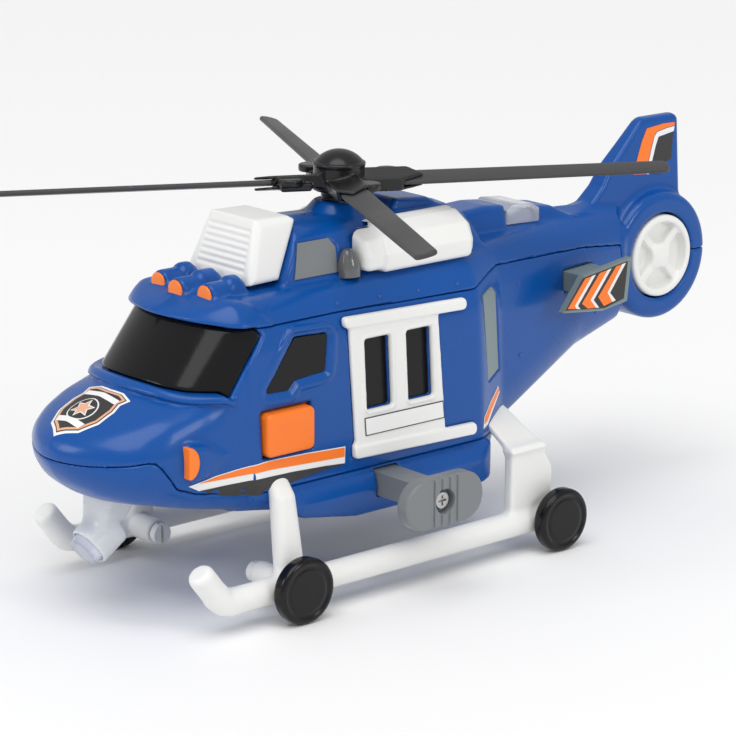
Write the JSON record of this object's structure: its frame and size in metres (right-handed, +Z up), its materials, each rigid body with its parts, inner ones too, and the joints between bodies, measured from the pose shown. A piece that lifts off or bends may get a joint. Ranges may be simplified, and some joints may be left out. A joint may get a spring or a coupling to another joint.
{
  "type": "toy helicopter",
  "caption": "Toy rescue helicopter with free-turning main rotor and tail fan, rolling wheels on skids, sliding-door panels, roof lamps and a side push button.",
  "frame": {"origin": "centre of the length and width, at the bottoms of the wheels", "axes": "+Z up, -Y towards the nose, +X towards the port (left-hand) side"},
  "size_m": [0.196, 0.276, 0.133],
  "materials": {
    "blue": "glossy moulded",
    "white": "satin",
    "orange": "satin",
    "black_gloss": "glossy",
    "dark_grey": "satin",
    "mid_grey": "satin",
    "grey_green": "satin",
    "smoky": "clear tinted plastic",
    "clear": "clear plastic",
    "steel": "zinc plated",
    "board": "solder mask",
    "cell": "printed sleeve",
    "wire": "insulated"
  },
  "bodies": {
    "fuselage": {"batteries": "cell", "battery_contacts": "steel", "battery_door": "blue", "beacon_lens": "clear", "belly_pan": "blue", "cabin_shell": "blue", "circuit_board": "board", "cockpit_window_left": "black_gloss", "cockpit_window_right": "black_gloss", "dome_lamp_left": "smoky", "dome_lamp_right": "smoky", "door_glass_left": "black_gloss", "door_glass_right": "black_gloss", "door_left": "white", "door_right": "white", "engine_cowl_left": "white", "engine_cowl_right": "white", "intake_panel_left": "mid_grey", "intake_panel_right": "mid_grey", "intake_scoop": "white", "lamp_lenses": "orange", "leds": "clear", "roof_shell": "blue", "screws": "steel", "searchlight_bracket": "white", "searchlight_lens": "clear", "skid_left": "white", "skid_right": "white", "speaker": "dark_grey", "stabiliser_left": "grey_green", "stabiliser_right": "grey_green", "stub_bar_left": "mid_grey", "stub_bar_right": "mid_grey", "stub_plate_left": "mid_grey", "stub_plate_right": "mid_grey", "switch_body": "dark_grey", "vent_left": "grey_green", "vent_right": "grey_green", "windscreen": "black_gloss", "wiring": "wire"},
    "rotor": {"rotor_hub": "black_gloss", "rotor_shaft": "steel", "rotor_clip": "steel", "rotor_blade_one": "dark_grey", "rotor_blade_two": "dark_grey", "rotor_blade_three": "dark_grey", "rotor_blade_four": "dark_grey"},
    "tail_fan": {"fan_axle": "steel", "tail_fan_left": "white", "tail_fan_right": "white"},
    "push_button": {"push_button": "orange"},
    "switch_plunger": {"switch_plunger": "dark_grey"},
    "wheel_front_left": {"wheel_front_left": "black_gloss", "axle_pin_front_left": "white"},
    "wheel_front_right": {"wheel_front_right": "black_gloss", "axle_pin_front_right": "white"},
    "wheel_rear_left": {"wheel_rear_left": "black_gloss", "axle_pin_rear_left": "white"},
    "wheel_rear_right": {"wheel_rear_right": "black_gloss", "axle_pin_rear_right": "white"}
  },
  "joints": [
    {"name": "rotor_spin", "type": "hinge", "parent": "fuselage", "child": "rotor", "pos_m": [0, -0.0245, 0.1226], "axis": [0, 0, 1], "continuous": true},
    {"name": "tail_fan_spin", "type": "hinge", "parent": "fuselage", "child": "tail_fan", "pos_m": [0, 0.1155, 0.0796], "axis": [1, 0, 0], "continuous": true},
    {"name": "button_press", "type": "slide", "parent": "fuselage", "child": "push_button", "axis": [-1, 0, 0], "range_m": [0, 0.0015]},
    {"name": "switch_travel", "type": "slide", "parent": "fuselage", "child": "switch_plunger", "axis": [-1, 0, 0], "range_m": [0, 0.0015]},
    {"name": "wheel_front_left_spin", "type": "hinge", "parent": "fuselage", "child": "wheel_front_left", "pos_m": [0.042, -0.0783, 0.0105], "axis": [1, 0, 0], "continuous": true},
    {"name": "wheel_front_right_spin", "type": "hinge", "parent": "fuselage", "child": "wheel_front_right", "pos_m": [-0.042, -0.0783, 0.0105], "axis": [1, 0, 0], "continuous": true},
    {"name": "wheel_rear_left_spin", "type": "hinge", "parent": "fuselage", "child": "wheel_rear_left", "pos_m": [0.042, 0.0309, 0.0105], "axis": [1, 0, 0], "continuous": true},
    {"name": "wheel_rear_right_spin", "type": "hinge", "parent": "fuselage", "child": "wheel_rear_right", "pos_m": [-0.042, 0.0309, 0.0105], "axis": [1, 0, 0], "continuous": true}
  ],
  "couplings": [
    {"joint": "switch_travel", "follows": "button_press", "ratio": 1}
  ]
}
